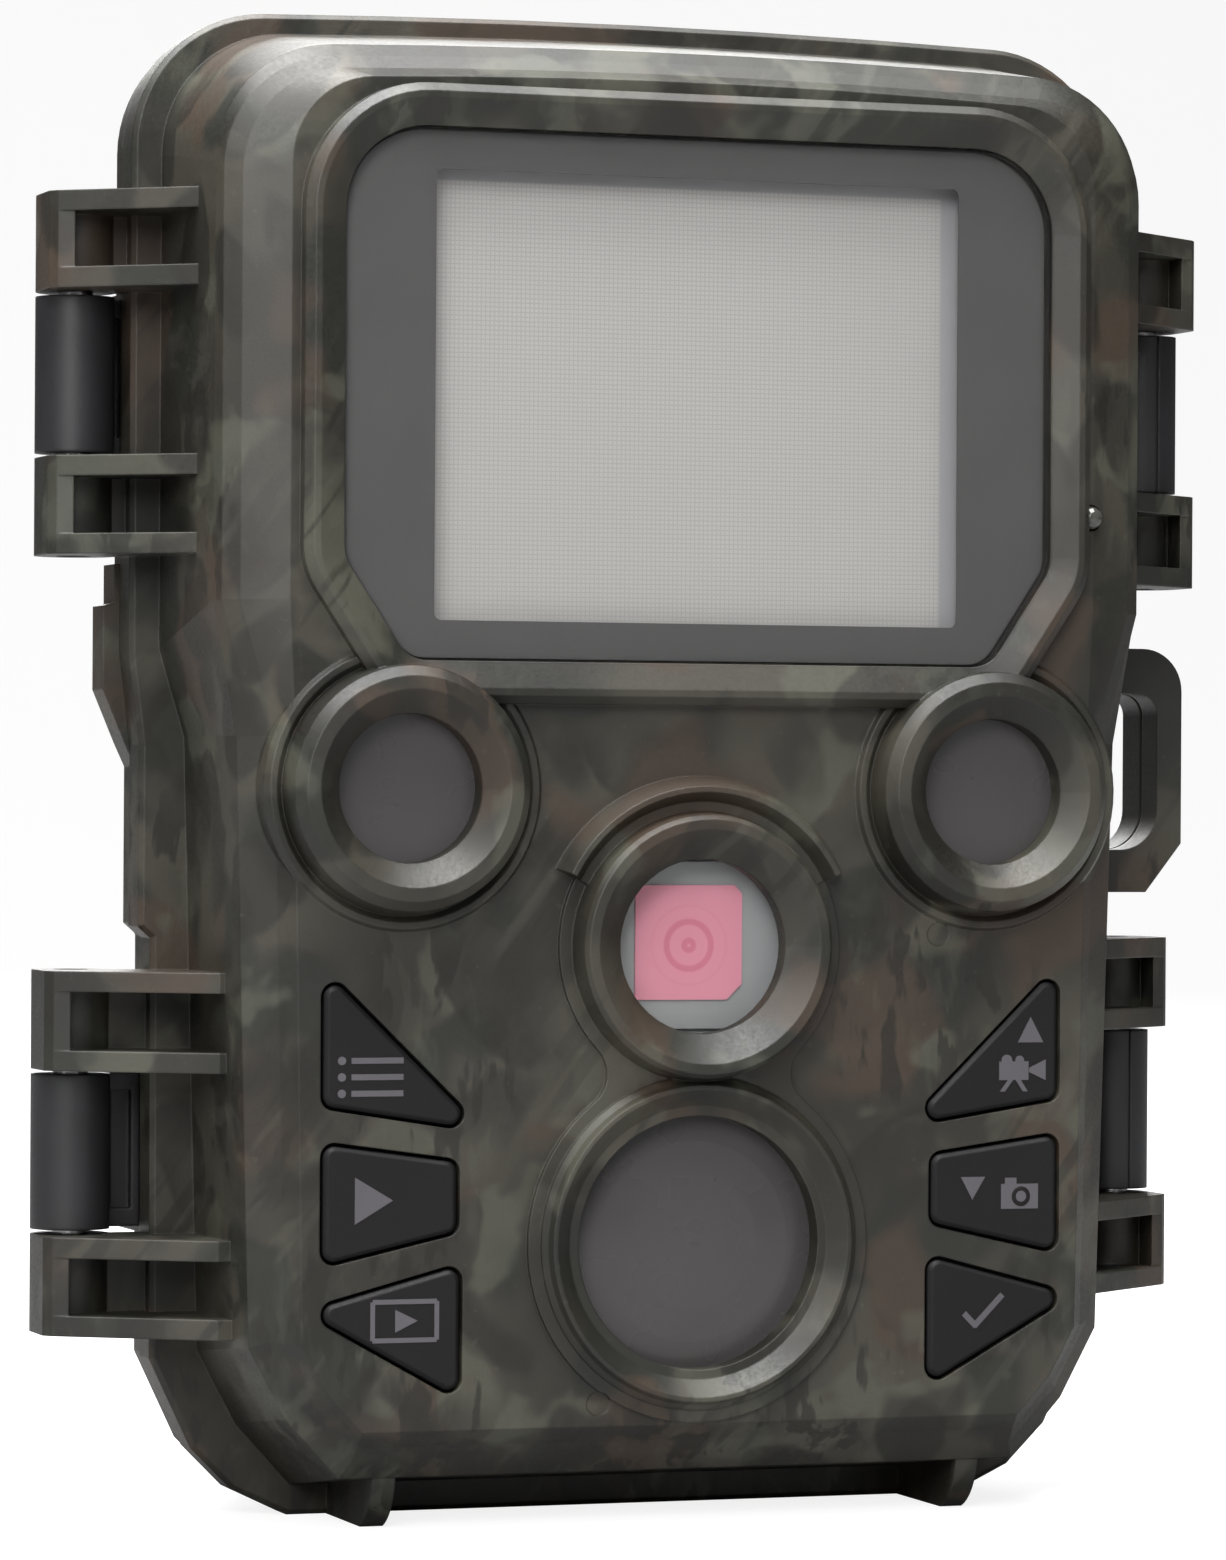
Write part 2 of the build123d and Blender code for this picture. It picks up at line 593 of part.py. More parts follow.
NUB_END = BAY_HALF_WIDTH - 0.6
for number in range(4):
    with BuildPart() as cell:
        with BuildSketch(across(number, NUB_END - CELL_NUB - CELL_LENGTH)):
            Circle(CELL_R)
        extrude(amount=CELL_LENGTH)
        chamfer(cell.edges().filter_by(GeomType.CIRCLE), 0.4)
        with BuildSketch(across(number, NUB_END - CELL_NUB)):
            Circle(2.75)
        extrude(amount=CELL_NUB)
    finish(cell, f"battery_cell_{number + 1}")

with BuildPart() as battery_contacts:
    for number in range(4):
        with BuildSketch(across(number, NUB_END + 0.1)):
            RectangleRounded(8.0, 10.0, 1.0)
        extrude(amount=0.4)
finish(battery_contacts, "battery_contacts")

with BuildPart() as battery_springs:
    for number in range(4):
        with BuildSketch(across(number, 0.05 - BAY_HALF_WIDTH)):
            RectangleRounded(8.0, 10.0, 1.0)
        extrude(amount=0.4)
        for turn, radius in enumerate((4.0, 3.6, 3.2, 2.8)):
            with BuildSketch(across(number, 0.4 - BAY_HALF_WIDTH + 0.72 * turn)):
                Circle(radius)
                Circle(radius - 0.7, mode=Mode.SUBTRACT)
            extrude(amount=0.8)
finish(battery_springs, "battery_springs")

# ---------------------------------------------------------------- rear half: moulded tub
with BuildPart() as rear_shell:
    with BuildSketch(at(-FLANGE_THICKNESS)):
        flange_outline(0.4)
    extrude(amount=FLANGE_THICKNESS)
    # finger tongue on the left edge
    with BuildSketch(at(-FLANGE_THICKNESS)):
        polygon([(-36.5, 53.0), (-37.7, 55.6), (-39.3, 59.4), (-39.3, 65.4), (-38.5, 65.6), (-38.5, 68.4),
                 (-36.5, 68.6)])
    extrude(amount=FLANGE_THICKNESS)
    padlock_eye(-3.4, -0.2)
    padlock_slot(-5, 1)
    housing_loft([
        (-2.0, 35.1, 33.4, 105.3, 2.1, 8.0, 8.6),
        (-17.2, 33.4, 31.9, 103.0, 3.9, 7.6, 7.8),
        (-TUB_DEPTH, 31.6, 30.2, 101.2, 5.7, 6.6, 6.6),
    ])
    # pads that carry the hinge leaves
    for (z_low, z_high), edge in zip(HINGE_KNUCKLES.values(), (37.7, 35.9)):
        slab(-(edge + 31.0) / 2, (z_low + z_high) / 2, edge - 31.0, z_high - z_low + 1.0, -11.4, -2.0)
    # cavity
    housing_loft([
        (1.0, 33.7, 32.0, 104.1, 4.2, 6.4, 7.2),
        (-TUB_INNER_DEPTH, 31.3, 29.9, 100.9, 6.0, 5.8, 6.0),
    ], mode=Mode.SUBTRACT)
    # boss round the tripod socket, open below for the threaded insert
    with BuildSketch(Plane.XY):
        Circle(6.6)
    extrude(amount=11.0)
    with BuildSketch(Plane.XY):
        Circle(INSERT_R + 0.02)
    extrude(amount=INSERT_LENGTH + 0.3, mode=Mode.SUBTRACT)

    # gasket groove in the joint face
    with BuildSketch(at(-1.3)):
        gasket_ring(GAP / 2)
    extrude(amount=2, mode=Mode.SUBTRACT)

    # recess for the rating label, and shallow grooves that stiffen the back
    slab(0, BACK_Z, 30.2, 24.2, -20, -18.6, mode=Mode.SUBTRACT)
    for z in GROOVES:
        with BuildSketch(at(-20)):
            with Locations((0, z)):
                SlotOverall(44.0, 1.6)
        extrude(amount=1.5, mode=Mode.SUBTRACT)
finish(rear_shell, "rear_shell")

# Two ribs across the back, each bridging a strap slot, with teeth that bite into bark.
with BuildPart() as tree_brackets:
    for side in (-1, 1):
        slab(side * BRACKET_X, BACK_Z, BRACKET_WIDTH, 50.0, -25.2, -TUB_DEPTH)
        for tooth in range(-5, 6):
            z = BACK_Z + TOOTH_PITCH * tooth
            with BuildSketch(side_on(side * BRACKET_X - BRACKET_WIDTH / 2)):
                polygon([(-25.0, z - 1.6), (-25.0, z + 1.6), (-26.0, z)])
            extrude(amount=-BRACKET_WIDTH)
        slot_length, slot_reach = STRAP_SLOT
        slab(side * BRACKET_X, BACK_Z, BRACKET_WIDTH + 2, slot_length, -slot_reach, -18, mode=Mode.SUBTRACT)
finish(tree_brackets, "tree_brackets")

with BuildPart() as door_gasket:
    with BuildSketch(at(-1.28)):
        gasket_ring(0)
    extrude(amount=1.26)
finish(door_gasket, "door_gasket")

with BuildPart() as tripod_insert:
    with BuildSketch(Plane.XY):
        Circle(INSERT_R)
        Circle(TRIPOD_MINOR_R, mode=Mode.SUBTRACT)
    extrude(amount=INSERT_LENGTH)
finish(tripod_insert, "tripod_insert")

with BuildPart() as rating_label:
    slab(0, BACK_Z, 29.6, 23.6, -18.75, -18.62)
finish(rating_label, "rating_label")

# ---------------------------------------------------------------- hinge and latch hardware
for place, (z_low, z_high) in HINGE_KNUCKLES.items():
    flange_edge = 37.7 if place == "upper" else 36.0
    middle = (z_low + z_high) / 2
    tall = z_high - z_low
    with BuildPart() as hinge_knuckle:
        upright_rod(-HINGE_X, KNUCKLE_R, z_low, z_high)
        # web from the barrel, with a shallow panel, then a leaf screwed to the side of the tub
        slab(-(HINGE_X + flange_edge) / 2 - 0.15, middle, HINGE_X - flange_edge, tall, -KNUCKLE_R, -0.8)
        slab(-flange_edge - 1.0, middle, 1.6, tall, -10.6, -0.8)
        panel_x = (HINGE_X - KNUCKLE_R + flange_edge) / 2
        slab(-panel_x - 0.2, middle, 1.5, tall - 2.6, -1.6, 0, mode=Mode.SUBTRACT)
        upright_rod(-HINGE_X, PIN_R + 0.06, z_low - 1, z_high + 1, mode=Mode.SUBTRACT)
    finish(hinge_knuckle, f"hinge_knuckle_{place}")

with BuildPart() as leaf_screws:
    for place, (z_low, z_high) in HINGE_KNUCKLES.items():
        head_x = -39.55 if place == "upper" else -37.85
        for z in (z_low + 2.6, z_high - 2.6):
            with BuildSketch(Plane(origin=(head_x, PARTING_Y + 7.0, z), x_dir=(0, 1, 0), z_dir=(-1, 0, 0))):
                Circle(1.5)
            extrude(amount=0.7)
finish(leaf_screws, "leaf_screws")

for word, x, (low_ear, high_ear) in (
    ("hinge_pin_upper", -HINGE_X, (HINGE_EARS[1], HINGE_EARS[0])),
    ("hinge_pin_lower", -HINGE_X, (HINGE_EARS[3], HINGE_EARS[2])),
    ("latch_pin_upper", LATCH_X["upper"], (LATCH_EARS["upper"][1], LATCH_EARS["upper"][0])),
    ("latch_pin_lower", LATCH_X["lower"], (LATCH_EARS["lower"][1], LATCH_EARS["lower"][0])),
):
    with BuildPart() as pin:
        upright_rod(x, PIN_R, low_ear[0] + 0.6, high_ear[1] - 0.6)
        chamfer(pin.edges().filter_by(GeomType.CIRCLE), 0.25)
    finish(pin, word)

for place, (z_low, z_high) in LATCH_LEVERS.items():
    x = LATCH_X[place]
    with BuildPart() as latch_lever:
        upright_rod(x, KNUCKLE_R - 0.1, z_low, z_high)
        arm = [(2.75, 0), (2.75, -6.0), (3.6, -9.5), (5.2, -12.6), (4.3, -13.2), (1.9, -9.9), (0.4, -8.2),
               (-3.2, -7.6), (-3.2, -3.4), (-0.5, -2.6), (-0.5, 0)]
        upright_prism(1, [(x + outward, height) for outward, height in arm], z_low, z_high)
        # moulding seam down the front of the barrel
        slab(x + 0.3, (z_low + z_high) / 2, 0.14, z_high - z_low, 2.5, 4, mode=Mode.SUBTRACT)
        upright_rod(x, PIN_R + 0.06, z_low - 1, z_high + 1, mode=Mode.SUBTRACT)
    finish(latch_lever, f"latch_lever_{place}")
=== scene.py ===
"""Trail camera: materials, printed key symbols, springs and small fittings, stage, light and camera."""

import bmesh
import bpy
from math import cos, pi, radians, sin
from mathutils import Matrix, Vector


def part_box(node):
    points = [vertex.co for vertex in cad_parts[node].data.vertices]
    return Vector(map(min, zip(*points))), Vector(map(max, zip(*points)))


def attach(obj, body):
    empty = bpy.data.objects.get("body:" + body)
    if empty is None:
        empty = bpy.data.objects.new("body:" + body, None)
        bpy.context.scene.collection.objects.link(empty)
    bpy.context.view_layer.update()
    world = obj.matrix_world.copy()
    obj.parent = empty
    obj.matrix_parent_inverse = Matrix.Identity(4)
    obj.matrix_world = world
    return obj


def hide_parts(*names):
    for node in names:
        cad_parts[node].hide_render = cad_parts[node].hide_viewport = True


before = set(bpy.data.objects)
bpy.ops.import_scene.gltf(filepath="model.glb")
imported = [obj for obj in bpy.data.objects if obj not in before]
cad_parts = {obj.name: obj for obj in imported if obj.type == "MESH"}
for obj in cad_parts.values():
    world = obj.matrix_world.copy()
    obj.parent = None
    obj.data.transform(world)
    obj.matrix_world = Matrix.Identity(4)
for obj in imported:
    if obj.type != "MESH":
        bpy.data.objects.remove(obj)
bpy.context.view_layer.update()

MM = 0.001                              # one millimetre, in the metres of the frame


# ------------------------------------------------------------------ material helpers
class Surface:
    """One material and short calls for the nodes it is made of. Patterns are laid out in millimetres."""

    def __init__(self, name, roughness=0.5, specular=0.5, metallic=0.0):
        self.material = bpy.data.materials.new(name)
        self.material.use_nodes = True
        self.tree = self.material.node_tree
        self.shader = self.tree.nodes["Principled BSDF"]
        self.set("Roughness", roughness)
        self.set("Specular IOR Level", specular)
        self.set("Metallic", metallic)
        self.place = self.node("ShaderNodeTexCoord").outputs["Object"]

    def node(self, kind, **settings):
        """A new node of this kind, with its settings."""
        made = self.tree.nodes.new(kind)
        for key, value in settings.items():
            setattr(made, key, value)
        return made

    def wire(self, source, target):
        """The source goes to the target socket: a plain value is set on it, an output is linked."""
        if isinstance(source, (int, float, tuple, list)):
            target.default_value = source
        else:
            self.tree.links.new(source, target)

    def set(self, socket, value):
        """A plain value or an output for one input of the shader."""
        self.wire(value, self.shader.inputs[socket])

    def mapped(self, scale=(1, 1, 1), turn=(0, 0, 0), shift=(0, 0, 0), source=None):
        """The source, or object coordinates in millimetres, turned (degrees), shifted and then scaled."""
        millimetres = self.node("ShaderNodeVectorMath", operation="SCALE")
        self.wire(source or self.place, millimetres.inputs[0])
        millimetres.inputs["Scale"].default_value = 1.0 if source else 1000.0
        turned = self.node("ShaderNodeMapping")
        self.wire(millimetres.outputs[0], turned.inputs["Vector"])
        turned.inputs["Rotation"].default_value = [radians(a) for a in turn]
        turned.inputs["Location"].default_value = shift
        scaled = self.node("ShaderNodeVectorMath", operation="MULTIPLY")
        self.wire(turned.outputs[0], scaled.inputs[0])
        scaled.inputs[1].default_value = scale
        return scaled.outputs[0]

    def noise(self, vector, scale, detail=2.0, rough=0.5):
        """Soft noise from 0 to 1."""
        made = self.node("ShaderNodeTexNoise")
        self.wire(vector, made.inputs["Vector"])
        made.inputs["Scale"].default_value = scale
        made.inputs["Detail"].default_value = detail
        made.inputs["Roughness"].default_value = rough
        return made.outputs["Fac"]

    def cells(self, vector, scale):
        """Distance to the nearest point of a random scatter."""
        made = self.node("ShaderNodeTexVoronoi", feature="F1")
        self.wire(vector, made.inputs["Vector"])
        made.inputs["Scale"].default_value = scale
        return made.outputs["Distance"]

    def warp(self, vector, scale, amount):
        """The vector pushed about by a slow noise."""
        field = self.node("ShaderNodeTexNoise")
        self.wire(vector, field.inputs["Vector"])
        field.inputs["Scale"].default_value = scale
        field.inputs["Detail"].default_value = 2.0
        centred = self.node("ShaderNodeVectorMath", operation="SUBTRACT")
        self.wire(field.outputs["Color"], centred.inputs[0])
        centred.inputs[1].default_value = (0.5, 0.5, 0.5)
        pushed = self.node("ShaderNodeVectorMath", operation="MULTIPLY_ADD")
        self.wire(centred.outputs[0], pushed.inputs[0])
        pushed.inputs[1].default_value = (amount, amount, amount)
        self.wire(vector, pushed.inputs[2])
        return pushed.outputs[0]

    def span(self, value, low, high, to_low=0.0, to_high=1.0):
        """Value between low and high, stretched smoothly to the new span."""
        made = self.node("ShaderNodeMapRange", interpolation_type="SMOOTHSTEP")
        self.wire(value, made.inputs["Value"])
        made.inputs["From Min"].default_value = low
        made.inputs["From Max"].default_value = high
        made.inputs["To Min"].default_value = to_low
        made.inputs["To Max"].default_value = to_high
        return made.outputs["Result"]

    def maths(self, operation, a, b=0.0):
        """One step of arithmetic on values."""
        made = self.node("ShaderNodeMath", operation=operation)
        self.wire(a, made.inputs[0])
        self.wire(b, made.inputs[1])
        return made.outputs[0]

    def mix(self, amount, a, b, blend="MIX"):
        """Colour a where amount is 0 and b where it is 1. Sockets 6 and 7 take the colours."""
        made = self.node("ShaderNodeMix", data_type="RGBA", blend_type=blend)
        self.wire(amount, made.inputs["Factor"])
        self.wire(a, made.inputs[6])
        self.wire(b, made.inputs[7])
        return made.outputs[2]

    def axis(self, name):
        """One coordinate, X, Y or Z, in millimetres."""
        parts = self.node("ShaderNodeSeparateXYZ")
        self.wire(self.mapped(), parts.inputs[0])
        return parts.outputs[name]

    def wave(self, length, per_mm):
        """Sine of a length, at so many radians to the millimetre."""
        return self.maths("SINE", self.maths("MULTIPLY", length, per_mm))

    def outside(self, centre_z, half_width, half_height):
        """Millimetres outside an upright rectangle centred on X = 0. Inside it, the value is negative."""
        beside = self.maths("SUBTRACT", self.maths("ABSOLUTE", self.axis("X")), half_width)
        up = self.maths("SUBTRACT", self.axis("Z"), centre_z)
        above = self.maths("SUBTRACT", self.maths("ABSOLUTE", up), half_height)
        return self.maths("MAXIMUM", beside, above)

    def relief(self, height, distance_mm, strength=1.0, edge_mm=0.0):
        """Fine relief over the surface, with its sharp edges softened."""
        bump = self.node("ShaderNodeBump")
        bump.inputs["Strength"].default_value = strength
        bump.inputs["Distance"].default_value = distance_mm * MM
        self.wire(height, bump.inputs["Height"])
        if edge_mm:
            soft = self.node("ShaderNodeBevel", samples=6)
            soft.inputs["Radius"].default_value = edge_mm * MM
            self.wire(soft.outputs["Normal"], bump.inputs["Normal"])
        self.set("Normal", bump.outputs["Normal"])


def linear(value):
    """Linear share of light for an sRGB value from 0 to 255."""
    share = value / 255
    return share / 12.92 if share <= 0.04045 else ((share + 0.055) / 1.055) ** 2.4


def colour(red, green, blue):
    """Linear colour from sRGB values of 0 to 255."""
    return (linear(red), linear(green), linear(blue), 1.0)


def grey(level):
    """Linear colour of an sRGB grey."""
    return colour(level, level, level)


def shaded(tint, factor):
    """The same colour, darker or lighter by a factor."""
    return tuple(min(channel * factor, 1.0) for channel in tint[:3]) + (1.0,)


def plain(name, tint, roughness, specular=0.5, metallic=0.0, *, mottling, grain, relief, edge):
    """Moulded or sheet surface: faint mottling of colour and gloss, fine grain, softened edges (mm)."""
    made = Surface(name, roughness, specular, metallic)
    cloud = made.noise(made.mapped(), 0.12, 3.0)
    fine = made.noise(made.mapped(), grain, 2.0)
    darker = shaded(tint, 1 - mottling)
    lighter = shaded(tint, 1 + mottling)
    made.set("Base Color", made.mix(made.span(cloud, 0.3, 0.7), darker, lighter))
    made.set("Roughness", made.span(fine, 0.2, 0.8, max(roughness - 0.06, 0.02), roughness + 0.06))
    made.relief(fine, relief, 0.6, edge)
    return made


# ------------------------------------------------------------------ materials
DARK_OLIVE = colour(40, 37, 30)
OLIVE = colour(60, 57, 49)
BLACK_GREEN = colour(30, 32, 27)
BROWN = colour(62, 50, 40)
GREY_GREEN = colour(80, 81, 70)
LEAF = colour(26, 25, 20)
PALE_NEEDLE = colour(84, 83, 74)
PALE_BARK = colour(80, 84, 72)
DARK_BARK = colour(24, 23, 18)
FLECK = colour(104, 104, 95)


def camouflage():
    """Woodland film print: soft blotches of olive, brown and grey-green, with leaves, needles and bark."""
    made = Surface("camouflage", 0.48, 0.42)
    place = made.warp(made.mapped(), 0.09, 7.0)

    def blotch(shift, scale, low, high, detail=2.0):
        """Soft patches where a slow noise, read from its own place, rises from low to high."""
        return made.span(made.noise(made.mapped(shift=shift, source=place), scale, detail), low, high)

    def paint(base, amount, share, tint):
        """The tint laid over the base where amount is high, never covering more than its share."""
        return made.mix(made.maths("MULTIPLY", amount, share), base, tint)

    def region(shift, scale, low, high):
        """Large soft areas that hold one kind of mark."""
        return made.span(made.noise(made.mapped(shift=shift), scale, 1.0), low, high)

    base = made.mix(blotch((4, 9, 2), 0.055, 0.40, 0.60, 3.0), DARK_OLIVE, OLIVE)
    base = paint(base, blotch((31, 7, 12), 0.070, 0.52, 0.58), 0.85, BLACK_GREEN)
    base = paint(base, blotch((-17, 3, 44), 0.075, 0.54, 0.61), 0.75, BROWN)
    base = paint(base, blotch((63, -8, -30), 0.10, 0.56, 0.62, 3.0), 0.50, GREY_GREEN)

    # oval leaves, darker than the ground, lying at two angles
    for turn, squash, share in ((28, 0.50, 0.75), (-42, 0.42, 0.65)):
        lying = made.mapped(scale=(1.0, 1.0, squash), turn=(0, turn, 0))
        leaf = made.cells(made.warp(lying, 0.20, 3.0), 0.14)
        where = region((turn, 11, 5), 0.06, 0.46, 0.54)
        base = paint(base, made.maths("MULTIPLY", made.span(leaf, 0.46, 0.38), where), share, LEAF)

    # long needles that lean to the right, pale and dark, only in some regions
    leaning = made.warp(made.mapped(scale=(1.1, 0.5, 0.055), turn=(0, -36, 0)), 0.5, 0.6)
    needles = made.noise(leaning, 0.55)
    where = region((9, 40, -21), 0.035, 0.46, 0.56)
    base = paint(base, made.maths("MULTIPLY", made.span(needles, 0.56, 0.70), where), 0.26, PALE_NEEDLE)
    base = paint(base, made.maths("MULTIPLY", made.span(needles, 0.44, 0.35), where), 0.60, LEAF)

    # bark: short upright flecks, pale and dark
    upright = made.warp(made.mapped(scale=(0.9, 0.9, 0.30)), 0.3, 1.4)
    bark = made.noise(upright, 0.42, 3.0, 0.6)
    where = region((60, 4, 5), 0.045, 0.50, 0.58)
    base = paint(base, made.maths("MULTIPLY", made.span(bark, 0.56, 0.66), where), 0.18, PALE_BARK)
    base = paint(base, made.maths("MULTIPLY", made.span(bark, 0.47, 0.41), where), 0.75, DARK_BARK)

    # pale flecks and print grain
    fleck = made.span(made.noise(made.mapped(), 1.3), 0.70, 0.76)
    base = paint(base, fleck, 0.10, FLECK)
    grain = made.noise(made.mapped(), 3.4, 3.0, 0.6)
    print_grain = made.mix(made.span(grain, 0.3, 0.7), grey(50), grey(110))
    made.set("Base Color", made.mix(0.30, base, print_grain, "SOFT_LIGHT"))
    made.set("Roughness", made.span(grain, 0.25, 0.75, 0.42, 0.54))
    made.relief(made.noise(made.mapped(), 5.0), 0.010, 0.7, 0.18)
    return made


# lengths in the patterns below are in millimetres
GRID_PITCH = 0.33                       # between the lines seen in the display
INK_HALF_WIDTH = 19.3                   # the display without its margin
INK_HALF_HEIGHT = 15.8
INK_CENTRE_Z = 79.6
LENS_CENTRE_Z = 41.3
LENS_RING_PITCH = 1.35                  # between the rings drawn on the film
CELL_BAND_X = 19.0                      # middle of the copper-coloured band, from the middle of the body
LABEL_CENTRE_Z = 54.0
LABEL_LINE_PITCH = 3.4                  # between the bars on the rating label
ACROSS_TRACKS = 4.2                     # radians of track pattern to the millimetre
ALONG_TRACKS = 3.6


def display_panel():
    """LCD seen switched off: pale grey, a faint grid of picture elements, and a darker margin."""
    made = Surface("display_panel", 0.35, 0.4)
    lines = 2 * pi / GRID_PITCH
    grid = made.maths("MAXIMUM", made.wave(made.axis("X"), lines), made.wave(made.axis("Z"), lines))
    field = made.mix(made.span(grid, 0.2, 1.0), colour(214, 212, 208), colour(197, 195, 192))
    glow = made.span(made.noise(made.mapped(), 0.03, 1.0), 0.3, 0.7)
    field = made.mix(made.maths("MULTIPLY", glow, 0.25), field, colour(184, 184, 180))
    margin = made.span(made.outside(INK_CENTRE_Z, INK_HALF_WIDTH, INK_HALF_HEIGHT), -0.06, 0.06)
    made.set("Base Color", made.mix(margin, field, colour(184, 183, 185)))
    made.relief(made.noise(made.mapped(), 2.0), 0.004)
    return made


def clear_pane(name, tint, facing_alpha, edge_alpha, roughness=0.06):
    """Clear plastic that lets light straight through and gets more reflective at a slant."""
    made = Surface(name, roughness, 0.5)
    smudge = made.noise(made.mapped(), 0.18, 4.0, 0.6)
    made.set("Base Color", made.mix(made.span(smudge, 0.3, 0.7), tint, shaded(tint, 0.9)))
    slant = made.node("ShaderNodeFresnel")
    slant.inputs["IOR"].default_value = 1.45
    made.set("Alpha", made.span(slant.outputs[0], 0.03, 0.6, facing_alpha, edge_alpha))
    made.set("Roughness", made.span(smudge, 0.3, 0.7, roughness, roughness + 0.05))
    return made


def protective_film():
    """Pink film laid over the lens, with faint rings where the rings of the barrel would show through."""
    pink = colour(255, 168, 188)
    made = clear_pane("pink_film", pink, 0.96, 0.98, 0.30)
    up = made.maths("SUBTRACT", made.axis("Z"), LENS_CENTRE_Z)
    squared = made.maths("ADD", made.maths("POWER", made.axis("X"), 2.0), made.maths("POWER", up, 2.0))
    from_axis = made.maths("SQRT", squared)
    rings = made.span(made.wave(from_axis, 2 * pi / LENS_RING_PITCH), 0.1, 0.9)
    within = made.span(from_axis, 3.0, 2.6)
    made.set("Base Color", made.mix(made.maths("MULTIPLY", rings, within), pink, colour(243, 142, 164)))
    return made


def steel_rod():
    """Ground steel: fine lines round the rod, some duller than others."""
    made = Surface("steel", 0.22, 0.5, 1.0)
    rings = made.noise(made.mapped(scale=(0.2, 0.2, 9.0)), 1.0, 3.0)
    dull, bright = colour(168, 168, 170), colour(205, 205, 206)
    made.set("Base Color", made.mix(made.span(rings, 0.3, 0.7), dull, bright))
    made.set("Roughness", made.span(rings, 0.3, 0.7, 0.16, 0.32))
    made.relief(rings, 0.004, 0.5, 0.1)
    return made


def circuit_board():
    """Green solder mask with faint tracks under it and bright pads."""
    made = Surface("circuit_board", 0.32, 0.5)
    across = made.span(made.wave(made.axis("X"), ACROSS_TRACKS), 0.55, 0.75)
    along = made.span(made.wave(made.axis("Z"), ALONG_TRACKS), 0.62, 0.8)
    choose = made.span(made.noise(made.mapped(), 0.11, 1.0), 0.48, 0.52)
    tracks = made.mix(choose, across, along)
    mask = made.mix(tracks, colour(14, 62, 34), colour(30, 92, 52))
    pads = made.span(made.cells(made.mapped(), 0.42), 0.17, 0.14)
    made.set("Base Color", made.mix(made.maths("MULTIPLY", pads, 0.8), mask, colour(196, 190, 170)))
    made.relief(tracks, 0.03, 0.5)
    return made


def cell_sleeve():
    """Printed cell sleeve: dark body, a copper-coloured band towards each end."""
    made = Surface("cell_sleeve", 0.28, 0.6)
    from_band = made.maths("SUBTRACT", made.maths("ABSOLUTE", made.axis("X")), CELL_BAND_X)
    band = made.span(made.maths("ABSOLUTE", from_band), 6.3, 6.1)
    fine = made.noise(made.mapped(scale=(1, 0.2, 0.2)), 1.0, 3.0)
    body = made.mix(made.span(fine, 0.3, 0.7), colour(30, 38, 50), colour(40, 50, 64))
    made.set("Base Color", made.mix(band, body, colour(176, 120, 70)))
    made.set("Metallic", made.span(band, 0.0, 1.0, 0.0, 0.7))
    made.relief(fine, 0.01, 0.4, 0.2)
    return made


def label_film():
    """Blank rating label: silver film, a printed frame and plain bars, with no words."""
    made = Surface("label_film", 0.38, 0.5, 0.35)
    line = made.span(made.maths("ABSOLUTE", made.outside(LABEL_CENTRE_Z, 13.4, 10.4)), 0.20, 0.12)
    up = made.maths("SUBTRACT", made.axis("Z"), LABEL_CENTRE_Z)
    rows = made.span(made.wave(up, 2 * pi / LABEL_LINE_PITCH), 0.62, 0.72)
    inside = made.span(made.outside(LABEL_CENTRE_Z, 10.5, 8.0), 0.05, -0.05)
    bars = made.maths("MULTIPLY", rows, inside)
    brushed = made.noise(made.mapped(scale=(0.05, 1, 3)), 1.5, 2.0)
    film = made.mix(made.span(brushed, 0.3, 0.7), grey(150), grey(176))
    made.set("Base Color", made.mix(made.maths("MAXIMUM", line, bars), film, grey(52)))
    made.relief(brushed, 0.005, 0.4)
    return made


PLASTIC = camouflage()
BLACK = plain("black_plastic", colour(28, 28, 30), 0.45, 0.4,
              mottling=0.10, grain=4.0, relief=0.012, edge=0.3)
KEY = plain("key_plastic", colour(18, 17, 18), 0.55, 0.22,
            mottling=0.06, grain=4.5, relief=0.010, edge=0.22)
SYMBOL = plain("symbol_print", colour(74, 72, 76), 0.5, 0.4,
               mottling=0.05, grain=4.0, relief=0.002, edge=0.0)
BORDER = plain("border_print", colour(92, 91, 91), 0.5, 0.4,
               mottling=0.04, grain=3.0, relief=0.0, edge=0.0)
WINDOW = plain("sensor_window", colour(60, 58, 58), 0.28, 0.35,
               mottling=0.04, grain=0.2, relief=0.0, edge=0.1)
FILM = protective_film()
PALE = plain("pale_plastic", colour(176, 178, 178), 0.42, 0.5,
             mottling=0.05, grain=4.0, relief=0.008, edge=0.15)
NICKEL = plain("nickel_sheet", colour(186, 184, 178), 0.24, 0.5, 1.0,
               mottling=0.05, grain=2.0, relief=0.004, edge=0.1)
BRASS = plain("turned_brass", colour(196, 160, 92), 0.26, 0.5, 1.0,
              mottling=0.08, grain=2.0, relief=0.006, edge=0.1)
RUBBER = plain("gasket_rubber", colour(30, 30, 31), 0.75, 0.3,
               mottling=0.10, grain=3.0, relief=0.02, edge=0.1)
CHIP = plain("chip_resin", colour(36, 36, 38), 0.5, 0.5,
             mottling=0.10, grain=6.0, relief=0.01, edge=0.1)
RESIN = plain("led_resin", colour(150, 156, 164), 0.12, 0.6,
              mottling=0.05, grain=2.0, relief=0.002, edge=0.1)
LIGHT_PIPE = plain("light_pipe", colour(60, 60, 56), 0.14, 0.6,
                   mottling=0.05, grain=2.0, relief=0.002, edge=0.1)
GLASS = clear_pane("display_glass", grey(40), 0.10, 0.60)
LENS_PANE = clear_pane("lens_pane", grey(60), 0.08, 0.60)
STEEL = steel_rod()
LCD = display_panel()
BOARD = circuit_board()
SLEEVE = cell_sleeve()
LABEL = label_film()

